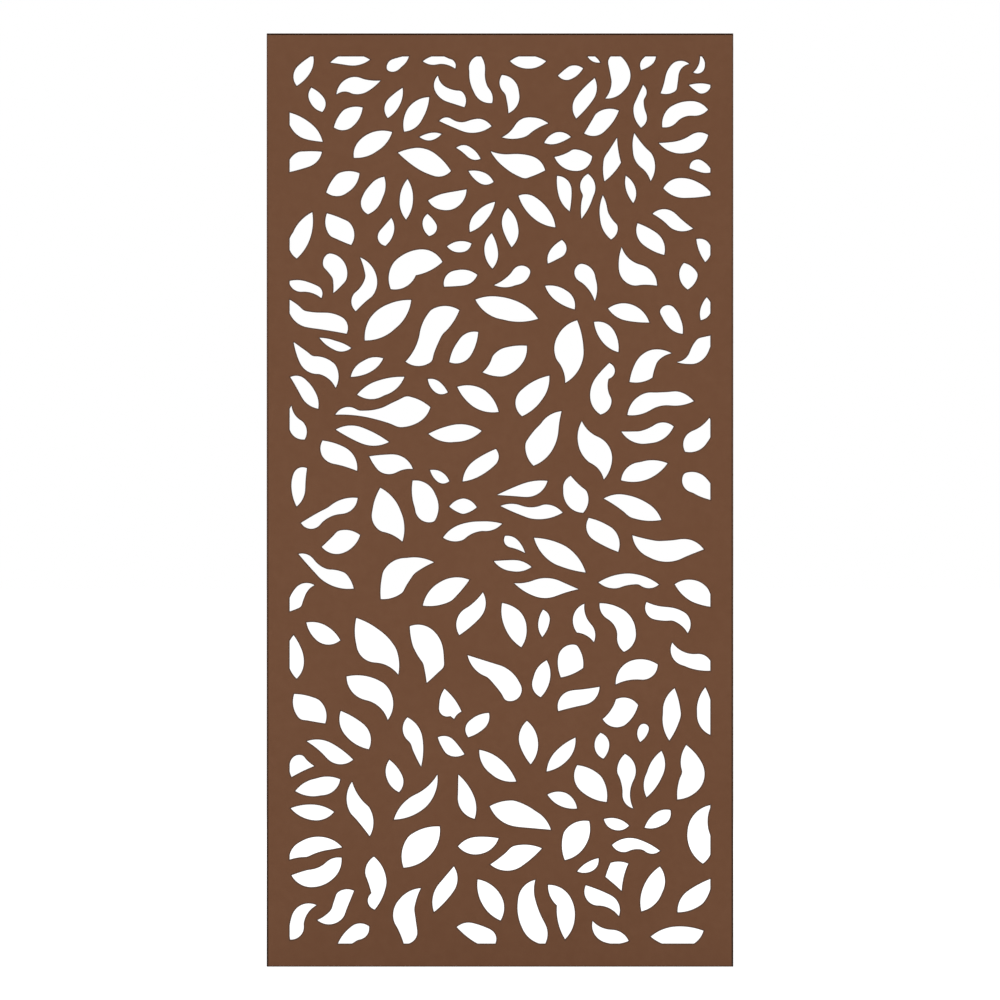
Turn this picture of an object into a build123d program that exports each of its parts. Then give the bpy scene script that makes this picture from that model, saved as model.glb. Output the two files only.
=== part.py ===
from build123d import *
import os

# Decorative screen panel for a garden or a room: one flat moulded sheet with a plain border,
# and a field of scattered leaf-shaped cut-outs that go right through it.
# Millimetres. Width along X, height along +Z, thickness along Y with the front face
# towards -Y. The origin is at the middle of the bottom edge.

# Driving dimensions
PANEL_WIDTH = 609.6
PANEL_HEIGHT = 1219.2
PANEL_THICKNESS = 6.35
SIDE_BORDER = 30.0
TOP_BORDER = 30.0
BOTTOM_BORDER = 30.0
CORNER_RADIUS = 0.8
EDGE_BREAK = 0.5

# The leaves are drawn a little large. Each opening has this share of its drawn length and
# width, about the leaf's own middle.
OPENING_SHARE = 0.96

# The leaves are drawn on a field of this size and follow the real field when it changes
DRAWN_FIELD_WIDTH = 549.6
DRAWN_FIELD_HEIGHT = 1159.2

# The leaf cut-outs, in millimetres on the drawn field: across from its left edge, then up
# from its lower edge. A leaf is a list of sides, taken round it in turn. A side starts with
# a pointed tip of the leaf and runs smoothly through its other points to the next side's tip.
# Leaves that reach past the field are cut straight along its edge.
LEAVES = [
    # Middle of the leaf less than 200 up the field
    [[(0, 4), (13, 8), (18, 24), (25, 42)],
     [(36, 51), (20, 53), (5, 42), (0, 28)]],
    [[(62, -1), (72, 15), (88, 26), (103, 25), (105, 14), (93, 7), (79, -1)]],
    [[(172, 74), (152, 67), (138, 51), (134, 36), (143, 14)],
     [(149, -2), (162, 2), (167, 19), (163, 42), (167, 62)]],
    [[(217, 22), (235, 28), (250, 24), (264, 18), (271, 8)],
     [(268, -3), (247, -1), (232, 8)]],
    [[(321, 85), (303, 73), (297, 50), (303, 20), (318, 2)],
     [(334, -3), (337, 17), (327, 40), (321, 58), (319, 72)]],
    [[(395, 30), (412, 20), (433, 15)],
     [(444, 3), (425, -1), (403, 6), (395, 18)]],
    [[(470, 9), (493, 21), (523, 22)],
     [(542, 17), (535, 4), (528, -1), (487, -1)]],
    [[(35, 30), (44, 35), (52, 41), (58, 56), (64, 69), (75, 72)],
     [(85, 70), (76, 47), (66, 29), (50, 24)]],
    [[(215, 102), (220, 88), (213, 66), (199, 50)],
     [(188, 40), (186, 57), (195, 79), (205, 90)]],
    [[(245, 85), (264, 77), (279, 57), (280, 38)],
     [(276, 29), (254, 47), (245, 70)]],
    [[(337, 78), (352, 75), (366, 63), (373, 42), (370, 19)],
     [(360, 4), (352, 22)],
     [(349, 50), (340, 62)]],
    [[(386, 77), (406, 70), (424, 60), (433, 45)],
     [(431, 35), (418, 46), (396, 51), (386, 60)]],
    [[(484, 102), (491, 84), (485, 62), (473, 47)],
     [(459, 41), (458, 60), (468, 86)]],
    [[(506, 40), (512, 61), (527, 74)],
     [(552, 86), (550, 70), (534, 47), (519, 42)]],
    [[(1, 89), (12, 93), (22, 96), (41, 101), (53, 110)],
     [(69, 113), (65, 94), (50, 79), (26, 73), (11, 78)]],
    [[(110, 115), (122, 100), (127, 82), (122, 61)],
     [(111, 43), (102, 54), (107, 67), (100, 84), (100, 103)]],
    [[(261, 103), (274, 111), (285, 124), (307, 130)],
     [(331, 125), (307, 103), (290, 95), (274, 96)]],
    [[(375, 94), (390, 107)],
     [(404, 112), (399, 97), (386, 92)]],
    [[(419, 106), (437, 107)],
     [(443, 105), (437, 88)],
     [(434, 68), (424, 77)],
     [(412, 87), (415, 96)]],
    [[(70, 126), (52, 138), (32, 140), (10, 131), (-1, 118)],
     [(-2, 109), (9, 112), (18, 112), (34, 118), (48, 122), (60, 124)]],
    [[(148, 98), (147, 125), (161, 146), (179, 152)],
     [(197, 154), (190, 123), (173, 106)]],
    [[(219, 127), (235, 138), (256, 140)],
     [(274, 138), (262, 122), (243, 116), (227, 120)]],
    [[(392, 161), (373, 159), (359, 148), (355, 131)],
     [(359, 108), (379, 118), (390, 134)]],
    [[(410, 163), (430, 163)],
     [(444, 154), (434, 148), (418, 151)]],
    [[(420, 129), (434, 137), (449, 138), (471, 130)],
     [(485, 121), (474, 117), (457, 124), (442, 120), (428, 121)]],
    [[(552, 183), (530, 172), (519, 145), (526, 117)],
     [(540, 103), (551, 116), (549, 146)]],
    [[(0, 177), (22, 182), (46, 179)],
     [(59, 172), (40, 161), (18, 164)]],
    [[(81, 213), (90, 194), (105, 177), (110, 158)],
     [(105, 139), (97, 151), (81, 167), (74, 186)]],
    [[(135, 161), (145, 180), (162, 194), (181, 206)],
     [(194, 222), (192, 201), (177, 177), (156, 165)]],
    [[(220, 222), (234, 206), (243, 186), (244, 170)],
     [(242, 162), (225, 173), (219, 190), (220, 207)]],
    [[(260, 180), (272, 185), (288, 188), (318, 176), (338, 159)],
     [(343, 148), (305, 151), (279, 158), (266, 169)]],
    [[(336, 195), (350, 199), (365, 195), (374, 183)],
     [(376, 176), (361, 177), (346, 184)]],
    [[(463, 151), (473, 167), (486, 175)],
     [(498, 175), (497, 163), (486, 154), (474, 150)]],
    # From 200 to 400 up the field
    [[(2, 217), (-1, 228), (2, 241), (14, 248), (23, 240)],
     [(33, 232), (17, 225)]],
    [[(6, 199), (24, 213), (46, 218), (62, 218)],
     [(67, 215), (59, 200), (40, 193), (20, 193)]],
    [[(130, 241), (144, 226), (149, 212)],
     [(143, 197), (128, 212), (125, 226)]],
    [[(247, 254), (270, 245), (287, 229)],
     [(297, 211), (277, 213), (259, 225), (248, 242)]],
    [[(375, 234), (400, 225), (412, 212), (415, 198)],
     [(415, 184), (385, 195), (373, 209), (371, 224)]],
    [[(438, 249), (450, 238), (452, 225), (446, 201)],
     [(449, 175), (436, 187), (434, 207), (427, 229), (431, 240)]],
    [[(486, 253), (491, 235), (485, 214), (475, 199)],
     [(466, 190), (462, 203), (467, 225), (475, 242)]],
    [[(518, 261), (534, 245), (543, 224), (537, 203), (522, 191)],
     [(506, 187), (505, 199), (513, 226), (511, 246)]],
    [[(21, 265), (40, 267), (57, 261)],
     [(84, 240), (73, 234), (57, 236), (43, 247)]],
    [[(66, 305), (86, 295), (102, 281), (107, 266)],
     [(104, 253), (78, 266), (65, 286)]],
    [[(172, 230), (165, 239), (162, 255), (152, 269), (147, 282), (154, 297), (169, 282), (175, 257)]],
    [[(193, 270), (209, 270), (220, 260)],
     [(229, 247), (214, 244), (203, 249), (196, 263)]],
    [[(310, 292), (321, 278), (325, 261)],
     [(315, 233), (303, 252), (299, 267), (304, 285)]],
    [[(335, 224), (341, 243), (357, 260)],
     [(374, 270), (371, 251), (356, 233)]],
    [[(406, 276), (418, 259), (415, 248)],
     [(410, 241), (399, 253), (399, 266)]],
    [[(458, 263), (454, 274), (462, 288), (469, 283), (466, 271)]],
    [[(5, 327), (26, 324), (43, 315), (48, 304)],
     [(47, 287), (33, 290), (16, 291), (6, 303)]],
    [[(202, 334), (216, 319)],
     [(225, 303), (219, 299)],
     [(215, 293)],
     [(210, 297), (199, 298), (195, 314)]],
    [[(233, 269), (229, 282), (238, 294)],
     [(261, 302), (259, 287), (248, 276)]],
    [[(456, 312), (440, 322), (425, 319), (418, 302)],
     [(408, 293), (427, 282), (444, 289), (452, 303)]],
    [[(503, 335), (510, 312), (508, 284), (501, 275)],
     [(496, 264), (488, 282), (489, 312), (495, 329)]],
    [[(543, 336), (534, 320), (532, 300), (539, 279)],
     [(551, 271), (553, 300), (549, 322)]],
    [[(73, 350), (109, 348), (130, 334), (136, 308)],
     [(129, 291), (114, 311), (94, 320), (76, 335)]],
    [[(231, 378), (272, 365), (299, 346), (302, 325), (292, 313), (279, 321), (265, 343), (245, 356),
      (234, 368)]],
    [[(336, 371), (341, 354), (337, 334)],
     [(328, 321), (317, 334), (319, 350), (328, 366)]],
    [[(350, 303), (351, 319), (365, 330), (385, 333)],
     [(406, 336), (399, 319), (379, 310)]],
    [[(425, 338), (427, 352), (443, 369), (463, 372)],
     [(482, 365), (479, 353), (462, 345), (445, 344)]],
    [[(9, 345), (0, 358), (-3, 377), (-1, 396)],
     [(5, 404), (12, 393), (17, 381), (19, 369), (17, 357)]],
    [[(143, 350), (131, 361), (109, 367), (94, 374), (86, 391), (84, 411)],
     [(86, 427), (106, 418), (126, 403), (138, 389), (144, 368)]],
    [[(179, 339), (177, 353), (173, 368), (165, 379), (159, 394)],
     [(156, 416), (170, 418), (184, 413), (194, 403), (200, 390), (202, 376)],
     [(202, 361), (190, 349)]],
    [[(375, 391), (384, 372), (383, 358), (371, 352)],
     [(354, 347), (350, 362), (351, 378), (360, 389)]],
    [[(499, 394), (513, 382), (533, 378), (549, 372)],
     [(553, 356), (533, 357), (509, 366), (495, 385)]],
    # From 400 to 600 up the field
    [[(21, 420), (40, 419), (57, 409)],
     [(67, 396), (51, 390), (36, 395), (26, 407)]],
    [[(253, 460), (257, 445), (252, 430), (237, 414)],
     [(221, 402), (217, 418), (221, 430), (239, 445)]],
    [[(303, 386), (288, 400), (279, 418), (276, 434)],
     [(277, 446), (290, 442), (304, 431), (310, 413), (309, 399)]],
    [[(330, 400), (325, 411), (325, 422)],
     [(331, 437), (338, 432), (339, 417)]],
    [[(398, 393), (388, 402)],
     [(375, 406), (370, 417), (371, 431), (378, 441)],
     [(385, 445), (386, 431), (391, 421), (399, 408)]],
    [[(437, 380), (430, 388), (428, 404), (424, 416), (409, 430)],
     [(404, 446), (426, 442), (445, 429), (453, 407), (448, 388)]],
    [[(465, 447), (486, 441), (505, 438), (520, 430), (525, 415)],
     [(521, 405), (516, 410), (509, 419), (490, 422), (474, 424), (463, 437)]],
    [[(-2, 433), (7, 436)],
     [(15, 440), (19, 452), (25, 463)],
     [(33, 469), (20, 472), (8, 465), (-1, 450)]],
    [[(173, 441), (180, 458), (195, 472), (214, 479)],
     [(236, 476), (222, 458), (207, 445), (190, 441)]],
    [[(292, 471), (308, 472), (325, 477), (345, 477), (361, 471)],
     [(379, 463), (352, 455), (334, 451), (316, 455), (303, 462)]],
    [[(402, 472), (419, 480), (441, 484), (461, 481)],
     [(484, 469), (471, 464), (454, 470), (432, 465), (415, 465)]],
    [[(502, 470), (518, 476), (536, 473), (547, 464), (552, 452)],
     [(556, 439), (538, 442), (521, 449), (508, 461)]],
    [[(10, 510), (17, 511), (29, 504), (46, 490), (60, 488), (72, 485), (81, 474)],
     [(85, 463), (65, 464), (46, 472), (29, 488)]],
    [[(118, 449), (118, 464), (119, 479), (128, 496), (148, 504), (172, 505)],
     [(190, 499), (171, 489), (157, 476), (150, 461), (137, 452)]],
    [[(266, 500), (281, 501), (297, 501)],
     [(317, 492), (301, 486), (287, 487), (274, 492)]],
    [[(318, 531), (339, 528), (360, 520), (377, 505)],
     [(388, 484), (368, 488), (342, 498), (328, 511)]],
    [[(446, 534), (465, 529), (488, 526), (513, 529), (530, 526)],
     [(543, 515), (523, 507), (502, 499), (484, 499), (466, 506), (451, 519)]],
    [[(41, 518), (54, 531), (62, 539), (76, 541)],
     [(93, 534), (84, 519), (70, 510), (52, 510)]],
    [[(199, 530), (208, 540), (226, 549), (251, 552), (270, 551)],
     [(279, 549), (263, 540), (241, 537), (228, 528), (214, 525)]],
    [[(308, 510), (297, 515), (284, 520), (279, 526)],
     [(281, 533), (291, 532), (301, 524)]],
    [[(430, 511), (409, 520), (394, 530), (386, 547)],
     [(390, 557), (408, 551), (425, 540), (432, 523)]],
    [[(9, 570), (3, 587), (2, 601), (5, 615), (13, 623)],
     [(23, 622), (21, 600), (18, 582)]],
    [[(13, 549), (40, 565), (66, 579), (78, 585)],
     [(90, 583), (86, 571), (72, 562), (59, 560), (41, 549), (26, 541)]],
    [[(148, 524), (140, 531), (121, 537), (110, 546), (107, 562), (111, 582)],
     [(118, 597), (132, 587), (143, 571), (150, 550)]],
    [[(160, 606), (173, 605), (186, 595), (194, 577), (193, 557), (183, 546), (170, 556), (160, 580)]],
    [[(208, 571), (217, 579), (228, 582), (238, 578)],
     [(245, 570), (234, 563), (227, 561), (220, 563)]],
    [[(270, 586), (287, 594), (311, 603)],
     [(338, 605), (331, 592), (315, 584), (295, 584)]],
    [[(274, 572), (287, 575), (303, 572), (317, 570), (334, 574), (348, 571)],
     [(358, 563), (341, 556), (322, 554), (298, 561)]],
    [[(384, 562), (370, 566), (360, 577), (357, 594), (361, 608)],
     [(367, 612), (374, 603), (386, 595), (391, 580)]],
    [[(409, 582), (422, 587), (443, 586), (464, 578), (482, 563)],
     [(487, 553), (466, 552), (441, 559), (427, 571)]],
    # From 600 to 800 up the field
    [[(42, 658), (63, 653), (79, 644), (88, 630)],
     [(89, 617), (67, 624), (49, 630), (39, 644)]],
    [[(103, 637), (120, 639), (140, 639), (153, 633)],
     [(162, 620), (149, 619), (132, 613), (118, 616), (109, 626)]],
    [[(183, 619), (195, 618), (204, 612)],
     [(209, 604), (198, 601), (187, 610)]],
    [[(225, 603), (241, 607), (260, 618), (273, 632), (274, 641)],
     [(270, 647), (255, 640), (236, 627)]],
    [[(432, 605), (438, 620), (460, 630), (480, 632)],
     [(495, 628), (480, 613), (460, 604), (443, 603)]],
    [[(556, 578), (538, 583), (524, 590), (512, 602), (513, 613), (527, 617), (543, 610), (552, 598)]],
    [[(2, 704), (8, 690), (19, 680), (23, 668)],
     [(20, 658), (7, 661), (-1, 675), (-3, 690)]],
    [[(59, 672), (72, 677), (89, 676), (112, 667)],
     [(131, 655), (113, 650), (92, 654), (74, 663)]],
    [[(180, 666), (201, 675), (224, 679), (243, 675)],
     [(252, 670), (238, 660), (211, 655), (192, 658)]],
    [[(318, 623), (332, 631), (345, 647), (351, 665), (353, 682)],
     [(356, 697), (339, 691), (322, 673), (308, 656), (308, 640)]],
    [[(411, 605), (405, 618), (388, 631), (377, 650), (376, 670)],
     [(381, 684), (396, 667), (413, 656), (422, 637), (418, 616)]],
    [[(432, 669), (448, 669), (464, 671), (481, 680), (497, 680)],
     [(503, 676), (490, 660), (462, 653), (442, 658)]],
    [[(549, 688), (537, 676), (520, 666), (513, 652)],
     [(516, 642), (536, 645), (549, 660), (553, 675)]],
    [[(57, 691), (63, 700), (82, 698), (112, 698), (135, 707), (155, 716), (171, 711)],
     [(186, 701), (178, 687), (162, 677)],
     [(145, 674), (122, 682), (92, 689)]],
    [[(218, 728), (236, 730), (254, 724), (268, 709)],
     [(274, 694), (254, 695), (236, 704), (225, 716)]],
    [[(303, 688), (321, 700), (334, 717), (340, 734)],
     [(340, 743), (318, 735), (299, 719), (294, 702)]],
    [[(440, 690), (446, 706), (457, 717), (480, 721)],
     [(508, 722)],
     [(530, 709), (503, 703), (479, 701), (464, 693), (450, 690)]],
    [[(0, 741), (8, 743), (17, 740), (30, 727), (38, 709)],
     [(38, 698), (24, 704), (12, 720)]],
    [[(4, 787), (7, 774), (13, 758), (26, 746), (42, 743), (52, 737)],
     [(61, 725), (65, 742), (60, 757), (48, 765), (33, 767), (19, 776)]],
    [[(79, 740), (85, 753), (99, 763), (114, 767)],
     [(123, 765), (112, 751), (97, 743)]],
    [[(87, 717), (102, 730), (123, 738), (142, 741)],
     [(151, 741), (140, 725), (121, 715), (99, 711)]],
    [[(180, 738), (193, 736), (202, 728)],
     [(207, 720), (194, 718), (184, 727)]],
    [[(406, 690), (395, 702), (392, 720), (399, 739), (410, 752)],
     [(418, 760), (426, 751), (415, 735), (416, 724), (421, 709), (417, 697)]],
    [[(443, 733), (448, 752), (459, 769), (475, 777), (490, 776)],
     [(500, 772), (485, 765), (479, 758), (476, 747)],
     [(474, 739), (460, 733)]],
    [[(38, 792), (48, 791), (62, 787), (75, 782)],
     [(81, 778), (75, 774), (64, 774), (52, 779)]],
    [[(150, 759), (163, 778), (172, 806), (180, 825), (196, 834), (210, 834)],
     [(223, 829), (215, 813), (200, 796), (191, 777)],
     [(185, 759), (170, 753)]],
    [[(208, 759), (213, 776), (222, 790), (235, 800)],
     [(247, 800), (242, 778), (231, 762), (218, 757)]],
    [[(251, 746), (260, 757), (266, 770), (281, 779), (297, 782)],
     [(311, 782), (308, 764), (296, 749), (276, 740), (262, 742)]],
    [[(360, 731), (356, 750), (346, 768), (347, 788), (358, 806)],
     [(376, 816), (383, 792), (384, 765), (374, 743)]],
    [[(397, 813), (411, 812), (424, 801), (430, 783)],
     [(430, 772), (417, 778), (402, 796)]],
    [[(505, 759), (519, 767), (525, 778), (532, 790), (545, 794)],
     [(556, 796), (551, 782), (543, 766), (529, 757), (516, 757)]],
    # From 800 to 1000 up the field
    [[(-3, 843), (5, 839), (15, 829), (32, 825), (52, 824), (67, 820), (77, 809)],
     [(76, 796), (46, 801), (8, 812), (-2, 824)]],
    [[(97, 787), (98, 802), (106, 820), (126, 835), (145, 841)],
     [(160, 842), (154, 822), (138, 803), (117, 790)]],
    [[(241, 842), (256, 846), (279, 845), (303, 837), (319, 825)],
     [(326, 816), (307, 812), (283, 814), (261, 821)]],
    [[(415, 830), (427, 836), (445, 836), (461, 827)],
     [(471, 811), (450, 812), (428, 818)]],
    [[(514, 796), (500, 801), (490, 812)],
     [(483, 827), (489, 834), (499, 834), (509, 821), (514, 806)]],
    [[(537, 814), (536, 826), (540, 838)],
     [(545, 845), (551, 835), (549, 822)]],
    [[(-2, 866), (15, 867), (31, 862), (42, 855), (44, 848)],
     [(42, 843), (29, 850), (10, 853), (-2, 861)]],
    [[(86, 825), (80, 838), (87, 853), (98, 865), (98, 880)],
     [(92, 898), (105, 889), (114, 872), (111, 849), (97, 836)]],
    [[(201, 858), (204, 873), (217, 880), (234, 880)],
     [(246, 874), (237, 863), (223, 859)]],
    [[(266, 860), (280, 868), (295, 882), (308, 887), (316, 878), (311, 868), (295, 860), (279, 857)]],
    [[(333, 860), (346, 860), (361, 854), (372, 842)],
     [(373, 828), (357, 834), (342, 845)]],
    [[(399, 839), (394, 850), (381, 864), (371, 879), (378, 889), (391, 886), (400, 869), (402, 850)]],
    [[(433, 911), (429, 891), (433, 870), (445, 860), (463, 860)],
     [(481, 859), (478, 873), (466, 884), (449, 892)]],
    [[(520, 854), (511, 864), (509, 879)],
     [(515, 890), (527, 884), (534, 873), (529, 862)]],
    [[(57, 849), (57, 864), (54, 874), (45, 882), (43, 893)],
     [(50, 903), (65, 898), (75, 883), (73, 864), (62, 854)]],
    [[(131, 854), (128, 869), (134, 889), (152, 903), (174, 908), (192, 902)],
     [(201, 891), (187, 880), (169, 876), (155, 861)]],
    [[(205, 911), (216, 917), (229, 918)],
     [(238, 915), (233, 906), (222, 903), (212, 905)]],
    [[(265, 881), (255, 899), (255, 914), (260, 925)],
     [(264, 929), (271, 912), (272, 895)]],
    [[(337, 888), (350, 894), (360, 901), (362, 912)],
     [(356, 920), (345, 912), (337, 899)]],
    [[(531, 921), (541, 921), (550, 912), (550, 900)],
     [(543, 890), (536, 902)]],
    [[(9, 894), (23, 912), (30, 933)],
     [(30, 957), (14, 945), (2, 925), (-1, 905)]],
    [[(48, 955), (63, 950), (78, 943), (85, 929)],
     [(81, 912), (66, 918), (51, 926), (46, 940)]],
    [[(125, 911), (116, 917), (116, 929), (125, 940)],
     [(133, 949), (137, 934), (132, 919)]],
    [[(182, 924), (174, 936), (174, 946)],
     [(180, 954), (188, 946), (193, 936), (190, 928)]],
    [[(235, 929), (248, 936), (261, 951), (267, 962)],
     [(269, 970), (252, 963), (238, 948), (234, 938)]],
    [[(290, 909), (280, 928), (277, 943), (281, 957)],
     [(285, 962), (296, 947), (299, 930), (296, 916)]],
    [[(298, 978), (309, 980), (322, 975), (337, 961), (346, 945)],
     [(348, 935), (330, 940), (309, 957)]],
    [[(420, 919), (411, 929), (405, 950), (406, 970)],
     [(409, 979), (414, 965), (419, 949), (428, 940), (428, 928)]],
    [[(454, 942), (468, 936), (482, 927), (491, 910)],
     [(490, 899), (470, 907), (455, 921), (452, 933)]],
    [[(473, 954), (484, 960), (496, 959), (511, 948)],
     [(528, 934), (519, 931), (505, 931), (492, 940)]],
    [[(47, 981), (59, 1003), (69, 1010), (82, 1009)],
     [(92, 1007), (84, 988), (72, 979), (56, 976)]],
    [[(102, 952), (94, 960), (93, 972), (102, 988), (113, 999)],
     [(124, 1003), (126, 995), (121, 973), (111, 957)]],
    [[(152, 945), (144, 962), (145, 982), (149, 993)],
     [(154, 1000), (160, 986), (161, 968), (157, 953)]],
    [[(180, 971), (196, 979), (214, 983)],
     [(232, 986), (227, 970), (213, 959), (201, 958), (188, 962)]],
    [[(366, 956), (357, 965), (350, 983)],
     [(349, 1004), (360, 1001), (368, 988), (368, 970)]],
    [[(381, 946), (381, 965), (383, 980), (380, 993)],
     [(390, 1007), (399, 995), (396, 974), (388, 956)]],
    [[(449, 967), (442, 978), (438, 994)],
     [(439, 1004), (449, 994), (453, 979)]],
    [[(487, 987), (498, 998), (513, 1001), (532, 996), (546, 987)],
     [(554, 978), (536, 975), (517, 974), (500, 977)]],
    # From 1000 up to the top of the field
    [[(-3, 1007), (17, 1012), (33, 1019), (40, 1026)],
     [(43, 1035), (22, 1036), (7, 1033), (-1, 1024)]],
    [[(140, 1034), (155, 1039), (174, 1040), (191, 1032), (204, 1020)],
     [(212, 1009), (201, 1002), (187, 1003), (169, 1011), (152, 1023)]],
    [[(217, 1040), (225, 1044), (234, 1042)],
     [(250, 1025), (239, 1024), (229, 1031)]],
    [[(233, 1010), (246, 1010), (259, 1005)],
     [(267, 995), (255, 991), (241, 999)]],
    [[(261, 1036), (280, 1032), (303, 1032), (322, 1027), (332, 1018)],
     [(335, 1010), (322, 1004), (308, 999), (293, 1005), (273, 1020)]],
    [[(345, 1028), (357, 1031), (369, 1038), (384, 1036)],
     [(396, 1029), (391, 1016), (374, 1009), (360, 1012)]],
    [[(411, 995), (409, 1015), (412, 1030), (420, 1041)],
     [(428, 1054), (430, 1036), (433, 1019), (424, 1007)]],
    [[(472, 995), (464, 1009), (453, 1020), (448, 1037), (448, 1051)],
     [(450, 1060), (460, 1046), (473, 1033), (478, 1013)]],
    [[(522, 1013), (525, 1022), (534, 1025), (544, 1020)],
     [(553, 1008), (540, 1007), (530, 1010)]],
    [[(-2, 1087), (14, 1081), (32, 1068), (41, 1056)],
     [(44, 1047), (28, 1049), (13, 1054), (2, 1065), (-2, 1074)]],
    [[(57, 1066), (66, 1085), (74, 1092), (85, 1094)],
     [(96, 1093), (88, 1073), (77, 1064), (66, 1062)]],
    [[(83, 1026), (84, 1039), (92, 1051), (106, 1060), (121, 1063)],
     [(135, 1061), (127, 1046), (111, 1033), (97, 1027)]],
    [[(169, 1054), (178, 1058), (189, 1060)],
     [(199, 1058), (190, 1051), (182, 1049), (174, 1051)]],
    [[(194, 1075), (203, 1080), (214, 1076), (224, 1073), (236, 1076), (250, 1078), (259, 1074)],
     [(265, 1068), (252, 1061), (235, 1059), (218, 1064)]],
    [[(276, 1053), (289, 1063), (303, 1078), (318, 1080), (331, 1077)],
     [(339, 1072), (325, 1066), (312, 1056), (294, 1051)]],
    [[(332, 1046), (341, 1057), (352, 1061), (363, 1058)],
     [(368, 1054), (355, 1047), (341, 1044)]],
    [[(384, 1058), (395, 1077), (405, 1089), (422, 1091)],
     [(431, 1089), (421, 1071), (405, 1057), (392, 1054)]],
    [[(481, 1046), (496, 1047), (514, 1051), (529, 1059), (542, 1060)],
     [(548, 1057), (538, 1040), (512, 1032), (491, 1037)]],
    [[(43, 1086), (30, 1094), (25, 1104), (25, 1116)],
     [(28, 1119), (40, 1111), (47, 1101)]],
    [[(128, 1078), (140, 1089), (148, 1108)],
     [(148, 1119), (134, 1109), (124, 1096), (125, 1083)]],
    [[(149, 1060), (162, 1064), (174, 1078), (181, 1095)],
     [(183, 1107), (167, 1103), (152, 1088), (148, 1072)]],
    [[(229, 1092), (210, 1098), (195, 1106), (188, 1119), (190, 1131)],
     [(193, 1135), (199, 1123), (209, 1117)],
     [(225, 1114), (231, 1104)]],
    [[(286, 1084), (284, 1100), (280, 1113), (274, 1123)],
     [(277, 1136), (292, 1130), (300, 1111), (297, 1093)]],
    [[(374, 1077), (369, 1091), (375, 1108), (389, 1123)],
     [(399, 1132), (402, 1118), (395, 1100), (380, 1083)]],
    [[(459, 1065), (451, 1077), (449, 1093), (456, 1110)],
     [(462, 1123), (467, 1116), (462, 1101), (464, 1091), (467, 1080)]],
    [[(486, 1066), (487, 1079), (496, 1093), (512, 1100), (531, 1101)],
     [(548, 1090), (533, 1082), (515, 1080), (505, 1073), (497, 1067)]],
    [[(521, 1122), (531, 1124), (542, 1124)],
     [(551, 1122), (546, 1113), (538, 1110), (530, 1114)]],
    [[(9, 1120), (23, 1132), (30, 1144)],
     [(31, 1162), (16, 1152), (5, 1138), (5, 1128)]],
    [[(52, 1151), (60, 1158), (80, 1163), (96, 1160)],
     [(106, 1155), (95, 1149), (80, 1147), (66, 1149)]],
    [[(60, 1109), (68, 1126), (83, 1133), (97, 1130), (109, 1128)],
     [(120, 1128), (108, 1117), (94, 1110), (82, 1110), (71, 1113)]],
    [[(157, 1162), (141, 1158), (128, 1151), (125, 1144), (131, 1138), (143, 1143), (152, 1151)]],
    [[(173, 1153), (181, 1158), (195, 1161), (211, 1155), (219, 1148)],
     [(217, 1143), (207, 1148), (190, 1149), (178, 1149)]],
    [[(265, 1097), (249, 1101), (239, 1115), (234, 1135), (236, 1151), (242, 1162)],
     [(249, 1162), (255, 1147), (256, 1127), (260, 1117), (266, 1106)]],
    [[(287, 1153), (297, 1159), (311, 1161), (326, 1158)],
     [(336, 1153), (324, 1145), (309, 1143), (297, 1146)]],
    [[(350, 1134), (360, 1143), (369, 1148), (378, 1147)],
     [(384, 1144), (373, 1132), (362, 1128), (355, 1129)]],
    [[(389, 1159), (397, 1160), (403, 1156)],
     [(406, 1151), (397, 1152)]],
    [[(412, 1103), (419, 1116), (420, 1132), (416, 1148), (421, 1162)],
     [(431, 1162), (442, 1149), (446, 1132), (438, 1115), (425, 1105)]],
    [[(459, 1141), (470, 1146), (477, 1153)],
     [(479, 1160), (468, 1161), (459, 1153), (457, 1146)]],
    [[(484, 1110), (490, 1130), (495, 1144), (504, 1153), (515, 1154)],
     [(523, 1150), (513, 1145), (509, 1138), (507, 1127), (505, 1114), (498, 1110)]],
    [[(527, 1138), (533, 1145)],
     [(536, 1162), (543, 1150), (540, 1140), (533, 1136)]],
]

# The field that the leaves fill, inside the plain border
FIELD_WIDTH = PANEL_WIDTH - 2 * SIDE_BORDER
FIELD_HEIGHT = PANEL_HEIGHT - TOP_BORDER - BOTTOM_BORDER
ACROSS_SCALE = FIELD_WIDTH / DRAWN_FIELD_WIDTH
UP_SCALE = FIELD_HEIGHT / DRAWN_FIELD_HEIGHT

# The sheet is drawn on its back face and made towards the front
BACK_PLANE = Plane.XZ.offset(-PANEL_THICKNESS / 2)


def on_panel(point):
    """Where a point of the drawn field lies on the panel, across from its middle and up."""
    across, up = point
    return Vector(across * ACROSS_SCALE - FIELD_WIDTH / 2, BOTTOM_BORDER + up * UP_SCALE)


def leaf_shape(sides):
    """One leaf's opening: each side is a chain of arcs along a smooth curve from tip to tip."""
    drawn = [on_panel(point) for side in sides for point in side]
    middle = sum(drawn, Vector()) / len(drawn)
    with BuildSketch(BACK_PLANE) as leaf:
        with BuildLine():
            for side, next_side in zip(sides, sides[1:] + sides[:1]):
                run = [on_panel(point) for point in side + next_side[:1]]
                run = [middle + (point - middle) * OPENING_SHARE for point in run]
                if len(run) == 2:
                    Line(run)
                    continue
                curve = Spline(run, mode=Mode.PRIVATE)
                arcs = len(run) // 2
                for number in range(arcs):
                    places = (number / arcs, (number + 0.5) / arcs, (number + 1) / arcs)
                    ThreePointArc([curve @ place for place in places])
        make_face()
    return leaf.sketch


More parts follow.
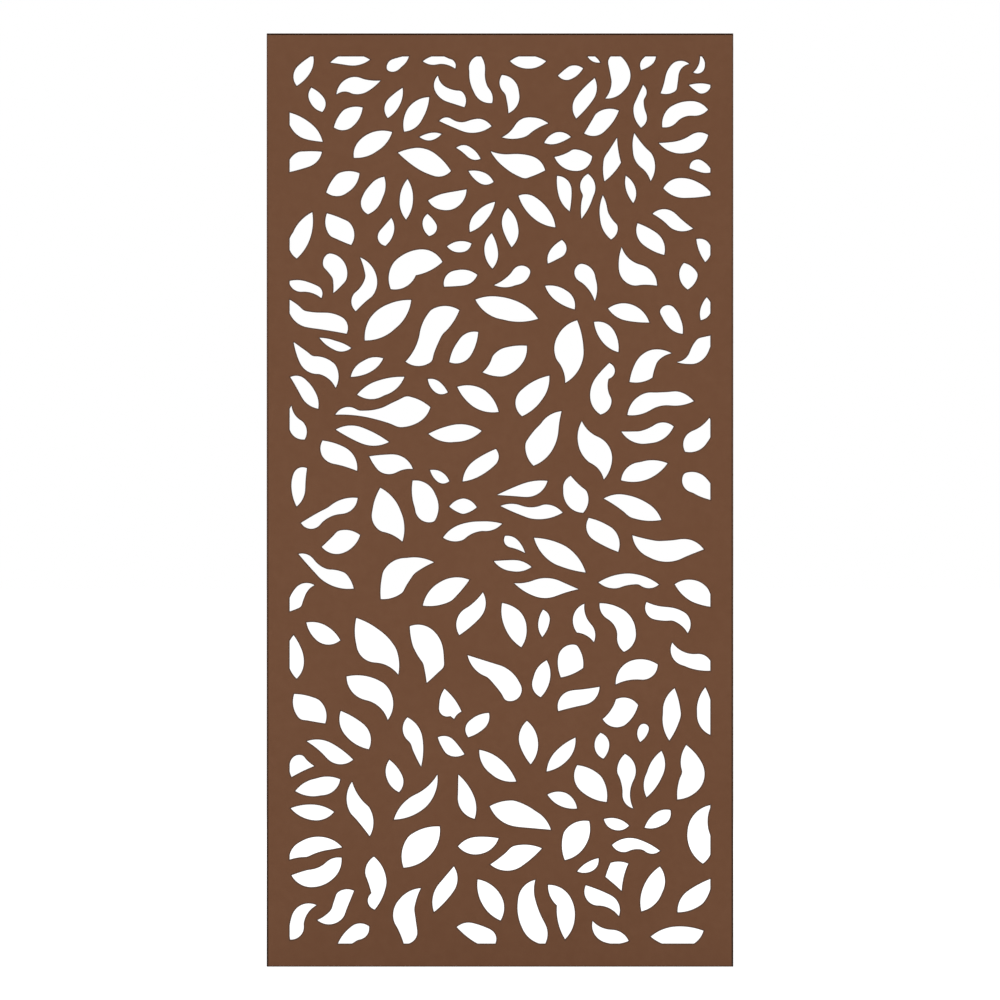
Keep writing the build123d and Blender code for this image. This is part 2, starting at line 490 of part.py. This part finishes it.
# All the openings, cut off straight where the field ends
with BuildSketch(BACK_PLANE) as openings:
    add([leaf_shape(sides) for sides in LEAVES])
    with Locations((0, BOTTOM_BORDER)):
        Rectangle(FIELD_WIDTH, FIELD_HEIGHT, align=(Align.CENTER, Align.MIN), mode=Mode.INTERSECT)

# The sheet with its upright corners just off sharp, the leaves cut through it and its outer edges broken
with BuildPart() as screen_panel:
    with BuildSketch(BACK_PLANE):
        with Locations((0, PANEL_HEIGHT / 2)):
            RectangleRounded(PANEL_WIDTH, PANEL_HEIGHT, radius=CORNER_RADIUS)
        add(openings.sketch, mode=Mode.SUBTRACT)
    extrude(amount=PANEL_THICKNESS)
    broad_faces = screen_panel.faces().sort_by(Axis.Y)
    rim = broad_faces[0].outer_wire().edges() + broad_faces[-1].outer_wire().edges()
    chamfer(rim, length=EDGE_BREAK)

screen_panel.part.label = "screen_panel"

os.makedirs("parts", exist_ok=True)
export_step(screen_panel.part, "parts/screen_panel.step")
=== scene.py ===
import bpy
import math
import numpy as np
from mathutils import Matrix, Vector
from mathutils.geometry import tessellate_polygon
from mathutils.kdtree import KDTree


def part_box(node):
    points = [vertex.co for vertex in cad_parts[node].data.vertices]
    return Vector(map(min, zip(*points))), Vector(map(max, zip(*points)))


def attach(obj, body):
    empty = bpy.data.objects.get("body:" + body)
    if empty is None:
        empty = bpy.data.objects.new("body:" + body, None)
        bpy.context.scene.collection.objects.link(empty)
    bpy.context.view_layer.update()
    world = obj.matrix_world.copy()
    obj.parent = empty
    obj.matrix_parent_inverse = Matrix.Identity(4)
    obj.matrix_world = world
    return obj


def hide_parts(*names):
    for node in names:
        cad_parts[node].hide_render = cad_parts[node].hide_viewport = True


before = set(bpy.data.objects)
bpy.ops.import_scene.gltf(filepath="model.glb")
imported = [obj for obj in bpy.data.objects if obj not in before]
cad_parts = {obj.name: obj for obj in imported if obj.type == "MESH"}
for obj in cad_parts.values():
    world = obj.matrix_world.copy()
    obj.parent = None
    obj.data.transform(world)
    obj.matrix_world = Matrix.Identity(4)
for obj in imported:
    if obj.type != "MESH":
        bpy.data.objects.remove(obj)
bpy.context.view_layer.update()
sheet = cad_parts["screen_panel"]

# Metres
ARRIS = 0.0005
SHADE_BAND = 0.0016
CORNER_RADIUS = 0.0008
STEP = 0.0014
STRAIGHT_STEP = 0.0042
MERGE_DISTANCE = 1e-6
ON_EDGE = 2e-5

TIP_ANGLE = math.radians(45)
ARRIS_STEPS = 3
CORNER_STEPS = 6
SMOOTHING_TURNS = 4

# The painted shade's strength along an opening's rounded edge and down its wall
EDGE_SHADE = 1.0
WALL_SHADE = 0.35

# How much of the rib between two openings a band may take, and the most that a tip may lengthen it
BAND_SHARE = 0.42
SHARPEST_SHARE = 0.7


# Outlines of the CAD sheet

def front_loops(mesh_object, front):
    """The closed outlines of the sheet's front face, each as points across and up."""
    mesh = mesh_object.data
    places = np.array([vertex.co[:] for vertex in mesh.vertices])
    keys = np.round(places / MERGE_DISTANCE).astype(np.int64)
    numbers = {}
    same = [numbers.setdefault(tuple(key), len(numbers)) for key in keys.tolist()]
    point_of = {}
    for index, number in enumerate(same):
        point_of.setdefault(number, places[index])
    sides = set()
    for polygon in mesh.polygons:
        corners = [same[index] for index in polygon.vertices]
        if all(abs(point_of[corner][1] - front) < MERGE_DISTANCE for corner in corners):
            sides.update(zip(corners, corners[1:] + corners[:1]))
    follow = {start: end for start, end in sides if (end, start) not in sides}
    loops = []
    while follow:
        start = min(follow)
        here = follow.pop(start)
        loop = [start]
        while here != start:
            loop.append(here)
            here = follow.pop(here)
        loops.append(np.array([[point_of[number][0], point_of[number][2]] for number in loop]))
    return loops


def smooth_side(points):
    """Even steps along a smooth curve through one side of an outline, without its last point."""
    if len(points) == 2:
        count = max(1, round(np.linalg.norm(points[1] - points[0]) / STRAIGHT_STEP))
        return [points[0] + (points[1] - points[0]) * step / count for step in range(count)]
    steps = np.linalg.norm(np.diff(points, axis=0), axis=1)
    at = np.concatenate([[0], np.cumsum(steps)])
    slopes = np.gradient(points, at, axis=0, edge_order=2)
    side = []
    for k, span in enumerate(steps):
        count = max(1, round(span / STEP))
        for step in range(count):
            t = step / count
            side.append(
                (2 * t**3 - 3 * t**2 + 1) * points[k]
                + (t**3 - 2 * t**2 + t) * span * slopes[k]
                + (3 * t**2 - 2 * t**3) * points[k + 1]
                + (t**3 - t**2) * span * slopes[k + 1]
            )
    side = np.array(side + [points[-1]])
    for turn in range(SMOOTHING_TURNS):
        side[1:-1] = (side[:-2] + 2 * side[1:-1] + side[2:]) / 4
    return list(side[:-1])


def smooth_loop(loop, field):
    """An opening's outline, smooth between its sharp tips and straight where the field's edge cuts it."""
    before = loop - np.roll(loop, 1, axis=0)
    after = np.roll(loop, -1, axis=0) - loop
    turn = np.arctan2(before[:, 0] * after[:, 1] - before[:, 1] * after[:, 0], (before * after).sum(axis=1))
    on_edge = np.abs(loop[:, None, :] - field[None, :, :]) < ON_EDGE
    cut_ahead = (on_edge & np.roll(on_edge, -1, axis=0)).any(axis=(1, 2))
    cut_end = cut_ahead != np.roll(cut_ahead, 1)
    tips = [index for index in range(len(loop)) if abs(turn[index]) > TIP_ANGLE or cut_end[index]]
    if not tips:
        tips = [int(np.argmax(abs(turn)))]
    side_points = []
    for tip, next_tip in zip(tips, tips[1:] + [tips[0] + len(loop)]):
        indices = [index % len(loop) for index in range(tip, next_tip + 1)]
        side_points += smooth_side(loop[indices])
    return np.array(side_points)


def into_sheet(loop):
    """Directions from an opening's outline into the sheet, longer at a tip to keep the sides' distance."""
    ahead = np.roll(loop, -1, axis=0) - loop
    ahead /= np.linalg.norm(ahead, axis=1)[:, None]
    area = (loop[:, 0] * np.roll(loop[:, 1], -1) - np.roll(loop[:, 0], -1) * loop[:, 1]).sum()
    normal_ahead = np.stack([ahead[:, 1], -ahead[:, 0]], axis=1) * (1 if area > 0 else -1)
    normal_behind = np.roll(normal_ahead, 1, axis=0)
    share = 1 + (normal_ahead * normal_behind).sum(axis=1)
    return (normal_ahead + normal_behind) / np.maximum(share, SHARPEST_SHARE)[:, None]


def sheet_rim(low, high):
    """The sheet's own outline, with its corners just off sharp."""
    inner_low, inner_high = low + CORNER_RADIUS, high - CORNER_RADIUS
    centres = [
        (inner_high[0], inner_high[1]),
        (inner_low[0], inner_high[1]),
        (inner_low[0], inner_low[1]),
        (inner_high[0], inner_low[1]),
    ]
    rim = []
    for quarter, (across, up) in enumerate(centres):
        for step in range(CORNER_STEPS + 1):
            angle = math.pi / 2 * (quarter + step / CORNER_STEPS)
            rim.append((across + CORNER_RADIUS * math.cos(angle), up + CORNER_RADIUS * math.sin(angle)))
    return np.array(rim)


def band_room(openings):
    """For each point of each opening, how far its band may reach before it nears the next opening's."""
    owners = [number for number, loop in enumerate(openings) for point in loop]
    points = np.concatenate(openings)
    tree = KDTree(len(points))
    for index, point in enumerate(points):
        tree.insert((point[0], point[1], 0), index)
    tree.balance()
    reach = 4 * (ARRIS + SHADE_BAND)
    rooms = []
    for number, loop in enumerate(openings):
        room = []
        for point in loop:
            near = tree.find_range((point[0], point[1], 0), reach)
            gaps = [distance for place, index, distance in near if owners[index] != number]
            room.append(BAND_SHARE * min(gaps, default=1.0))
        rooms.append(room)
    return rooms


# The panel, with its openings' edges softened

class PanelShape:
    """The vertices, faces, normals and painted edge shades of the panel, ring by ring."""

    def __init__(self, front, back):
        self.face_at = {-1: front, 1: back}
        self.vertices, self.faces, self.normals, self.shades = [], [], [], []

    def ring(self, loop, away, room, side, reach, sunk, tilt, shade):
        """One closed row of points round an outline, and the number of its first point."""
        first = len(self.vertices)
        depth = self.face_at[side] - side * sunk
        lean, face_on = math.sin(tilt), side * math.cos(tilt)
        for point, direction, most in zip(loop, away, room):
            across, up = point + direction * min(reach, most)
            self.vertices.append((across, depth, up))
            flat = direction / np.linalg.norm(direction)
            self.normals.append(Vector((-flat[0] * lean, face_on, -flat[1] * lean)).normalized())
            self.shades.append(shade)
        return first

    def bridge(self, first, second, count):
        for index in range(count):
            after = (index + 1) % count
            self.faces.append([first + index, first + after, second + after, second + index])

    def edge(self, loop, away, room, side):
        """The rounded edge of an outline on one broad face: its outermost and innermost rows."""
        rows = [(ARRIS + SHADE_BAND, 0.0, 0.0, 0.0)]
        for step in range(ARRIS_STEPS + 1):
            angle = math.pi / 2 * step / ARRIS_STEPS
            shade = EDGE_SHADE if step < ARRIS_STEPS else WALL_SHADE
            rows.append((ARRIS * (1 - math.sin(angle)), ARRIS * (1 - math.cos(angle)), angle, shade))
        rings = [self.ring(loop, away, room, side, *row) for row in rows]
        for outer, inner in zip(rings, rings[1:]):
            self.bridge(outer, inner, len(loop))
        return rings[0], rings[-1]

    def broad_face(self, outlines):
        """The flat face between the outermost rows of all the outlines."""
        numbers = [first + k for first, count in outlines for k in range(count)]
        polygons = [[Vector(self.vertices[first + k]) for k in range(count)] for first, count in outlines]
        for triangle in tessellate_polygon(polygons):
            self.faces.append([numbers[index] for index in triangle])

    def turn_faces(self):
        """Every face is turned to the side that its corners' normals point to."""
        for corners in self.faces:
            a, b, c = (Vector(self.vertices[index]) for index in (corners[0], corners[1], corners[-1]))
            wanted = sum((self.normals[index] for index in corners), Vector())
            if (b - a).cross(c - a).dot(wanted) < 0:
                corners.reverse()


def panel_shape():
    """The sheet again, with smooth openings, rounded edges and a narrow band round each for its painted
    shade.
    """
    low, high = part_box("screen_panel")
    loops = front_loops(sheet, low.y)
    loops.sort(key=lambda loop: np.ptp(loop[:, 0]))
    cut_loops = loops[:-1]
    everywhere = np.concatenate(cut_loops)
    field = np.array([everywhere.min(axis=0), everywhere.max(axis=0)])
    openings = [smooth_loop(loop, field) for loop in cut_loops]
    rim = sheet_rim(np.array([low.x, low.z]), np.array([high.x, high.z]))
    outlines = [(rim, -into_sheet(rim), [1.0] * len(rim))]
    outlines += [(loop, into_sheet(loop), room) for loop, room in zip(openings, band_room(openings))]
    shape = PanelShape(low.y, high.y)
    outermost = {-1: [], 1: []}
    for loop, away, room in outlines:
        walls = []
        for side in (-1, 1):
            outer, wall = shape.edge(loop, away, room, side)
            outermost[side].append((outer, len(loop)))
            walls.append(wall)
        shape.bridge(walls[0], walls[1], len(loop))
    for side in (-1, 1):
        shape.broad_face(outermost[side])
    shape.turn_faces()
    return shape


shape = panel_shape()
mesh = bpy.data.meshes.new("panel")
mesh.from_pydata(shape.vertices, [], shape.faces)
mesh.shade_smooth()
mesh.normals_split_custom_set_from_vertices(shape.normals)
edge_shade = mesh.attributes.new("edge_shade", "FLOAT", "POINT")
edge_shade.data.foreach_set("value", shape.shades)
mesh.validate(clean_customdata=False)
panel = bpy.data.objects.new("panel", mesh)
bpy.context.collection.objects.link(panel)


# Matte moulded plastic, the same brown right through, with painted shade darkening every edge

def linear(red, green, blue):
    """A colour as it shows on a screen, from 0 to 255, for a shader's socket."""
    def one(value):
        value /= 255
        return value / 12.92 if value <= 0.04045 else ((value + 0.055) / 1.055) ** 2.4
    return (one(red), one(green), one(blue), 1)


def moulded_plastic():
    material = bpy.data.materials.new("moulded_plastic")
    material.use_nodes = True
    nodes, links = material.node_tree.nodes, material.node_tree.links
    shader = nodes["Principled BSDF"]
    place = nodes.new("ShaderNodeTexCoord")

    def noise(scale, detail, roughness=0.5):
        node = nodes.new("ShaderNodeTexNoise")
        node.inputs["Scale"].default_value = scale
        node.inputs["Detail"].default_value = detail
        node.inputs["Roughness"].default_value = roughness
        links.new(place.outputs["Object"], node.inputs["Vector"])
        return node

    def spread(source, low, high, to_low, to_high):
        node = nodes.new("ShaderNodeMapRange")
        node.inputs["From Min"].default_value = low
        node.inputs["From Max"].default_value = high
        node.inputs["To Min"].default_value = to_low
        node.inputs["To Max"].default_value = to_high
        links.new(source, node.inputs["Value"])
        return node.outputs["Result"]

    def blend(share, first, second):
        node = nodes.new("ShaderNodeMix")
        node.data_type = "RGBA"
        links.new(share, node.inputs["Factor"])
        for socket, value in (("A", first), ("B", second)):
            target = [item for item in node.inputs if item.name == socket and item.type == "RGBA"][0]
            if isinstance(value, tuple):
                target.default_value = value
            else:
                links.new(value, target)
        return [item for item in node.outputs if item.type == "RGBA"][0]

    clouds = noise(7, 3)
    mottle = noise(90, 4, 0.6)
    grain = noise(1500, 3, 0.55)
    pebble = nodes.new("ShaderNodeTexVoronoi")
    pebble.feature = "SMOOTH_F1"
    pebble.inputs["Scale"].default_value = 1100
    pebble.inputs["Smoothness"].default_value = 0.6
    links.new(place.outputs["Object"], pebble.inputs["Vector"])

    broad = blend(spread(clouds.outputs["Fac"], 0.3, 0.7, 0, 1), linear(104, 69, 47), linear(107, 72, 50))
    patchy = blend(spread(mottle.outputs["Fac"], 0.35, 0.65, 0, 0.35), broad, linear(100, 66, 45))
    flecked = blend(spread(grain.outputs["Fac"], 0.55, 0.75, 0, 0.3), patchy, linear(114, 80, 58))
    # Painted shade: every rounded edge and the openings' walls are darkened towards a dark brown, standing in
    # for the shade that falls there
    edge = nodes.new("ShaderNodeAttribute")
    edge.attribute_name = "edge_shade"
    painted_edge_shade = blend(spread(edge.outputs["Fac"], 0, 1, 0, 0.85), flecked, linear(70, 50, 40))
    links.new(painted_edge_shade, shader.inputs["Base Color"])

    links.new(spread(mottle.outputs["Fac"], 0.3, 0.7, 0.58, 0.68), shader.inputs["Roughness"])
    shader.inputs["Specular IOR Level"].default_value = 0.1

    fine = nodes.new("ShaderNodeBump")
    fine.inputs["Strength"].default_value = 0.35
    fine.inputs["Distance"].default_value = 0.00012
    links.new(pebble.outputs["Distance"], fine.inputs["Height"])
    broad_bump = nodes.new("ShaderNodeBump")
    broad_bump.inputs["Strength"].default_value = 0.25
    broad_bump.inputs["Distance"].default_value = 0.0006
    links.new(clouds.outputs["Fac"], broad_bump.inputs["Height"])
    links.new(broad_bump.outputs["Normal"], fine.inputs["Normal"])
    links.new(fine.outputs["Normal"], shader.inputs["Normal"])
    return material


panel.data.materials.append(moulded_plastic())
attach(panel, "root")
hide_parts("screen_panel")


# White floor that keeps a soft shadow, and a white surround

FLOOR_REACH = 40
FLOOR_GLOW = 0.84
FLOOR_GREY = 0.35
FLOOR_BOUNCE = 0.8
ROOM_LIGHT = 0.68
WHITE = 1.0


def where_seen(tree):
    """1 on the way to the camera, straight, by a reflection or through a clear surface, and 0 for light."""
    path = tree.nodes.new("ShaderNodeLightPath")
    result = path.outputs["Is Camera Ray"]
    for name in ("Is Glossy Ray", "Is Transmission Ray"):
        larger = tree.nodes.new("ShaderNodeMath")
        larger.operation = "MAXIMUM"
        tree.links.new(result, larger.inputs[0])
        tree.links.new(path.outputs[name], larger.inputs[1])
        result = larger.outputs["Value"]
    return result


def finish_mix(tree, output, unseen, seen):
    """One shader for light and another for what is seen, joined to the tree's output."""
    mix = tree.nodes.new("ShaderNodeMixShader")
    tree.links.new(where_seen(tree), mix.inputs["Fac"])
    tree.links.new(unseen, mix.inputs[1])
    tree.links.new(seen, mix.inputs[2])
    tree.links.new(mix.outputs["Shader"], output.inputs["Surface"])


def white_floor():
    material = bpy.data.materials.new("white_floor")
    material.use_nodes = True
    tree = material.node_tree
    tree.nodes.clear()
    shadowed = tree.nodes.new("ShaderNodeBsdfDiffuse")
    shadowed.inputs["Color"].default_value = (FLOOR_GREY, FLOOR_GREY, FLOOR_GREY, 1)
    glow = tree.nodes.new("ShaderNodeEmission")
    glow.inputs["Strength"].default_value = FLOOR_GLOW
    both = tree.nodes.new("ShaderNodeAddShader")
    tree.links.new(shadowed.outputs["BSDF"], both.inputs[0])
    tree.links.new(glow.outputs["Emission"], both.inputs[1])
    bounce = tree.nodes.new("ShaderNodeBsdfDiffuse")
    bounce.inputs["Color"].default_value = (FLOOR_BOUNCE, FLOOR_BOUNCE, FLOOR_BOUNCE, 1)
    output = tree.nodes.new("ShaderNodeOutputMaterial")
    finish_mix(tree, output, bounce.outputs["BSDF"], both.outputs["Shader"])
    return material


def lay_floor():
    corners = [(-1, -1, 0), (1, -1, 0), (1, 1, 0), (-1, 1, 0)]
    floor_mesh = bpy.data.meshes.new("floor")
    floor_mesh.from_pydata([(FLOOR_REACH * x, FLOOR_REACH * y, z) for x, y, z in corners], [], [(0, 1, 2, 3)])
    floor_mesh.materials.append(white_floor())
    floor = bpy.data.objects.new("floor", floor_mesh)
    bpy.context.collection.objects.link(floor)


def light_room():
    world = bpy.data.worlds.new("studio")
    bpy.context.scene.world = world
    world.use_nodes = True
    tree = world.node_tree
    tree.nodes.clear()
    lighting, seen = (tree.nodes.new("ShaderNodeBackground") for use in ("lighting", "seen"))
    for background, strength in ((lighting, ROOM_LIGHT), (seen, WHITE)):
        background.inputs["Color"].default_value = (1, 1, 1, 1)
        background.inputs["Strength"].default_value = strength
    output = tree.nodes.new("ShaderNodeOutputWorld")
    finish_mix(tree, output, lighting.outputs["Background"], seen.outputs["Background"])


def soft_lamp(name, place, target, size, power):
    lamp = bpy.data.lights.new(name, "AREA")
    lamp.size = size
    lamp.energy = power
    lamp_object = bpy.data.objects.new(name, lamp)
    lamp_object.location = place
    lamp_object.rotation_euler = (Vector(target) - Vector(place)).to_track_quat("-Z", "Y").to_euler()
    bpy.context.collection.objects.link(lamp_object)


lay_floor()
light_room()
middle = (0, 0, 0.61)
soft_lamp("key", (-2.4, -4.6, 1.5), middle, 2.4, 50)
soft_lamp("fill", (2.8, -4.4, 0.7), (0, 0, 0.4), 2.8, 45)
soft_lamp("low", (-0.4, -3.0, 0.5), (0, 0, 0), 0.9, 13)
soft_lamp("rear", (0.6, 3.8, 2.2), middle, 2.6, 60)


# A long lens straight at the middle of the panel, with the photograph's margins round it

PICTURE_WIDTH = 1.3063
CAMERA_DISTANCE = 9.5
SENSOR_WIDTH = 36
FARTHEST = 200

panel_low, panel_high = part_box("screen_panel")
camera_data = bpy.data.cameras.new("camera")
camera_data.sensor_width = SENSOR_WIDTH
camera_data.lens = SENSOR_WIDTH * CAMERA_DISTANCE / PICTURE_WIDTH
camera_data.clip_end = FARTHEST
camera = bpy.data.objects.new("camera", camera_data)
camera.location = (0, panel_low.y - CAMERA_DISTANCE, (panel_low.z + panel_high.z) / 2)
camera.rotation_euler = (math.radians(90), 0, 0)
bpy.context.collection.objects.link(camera)
bpy.context.scene.camera = camera
bpy.context.scene.view_settings.view_transform = "Standard"
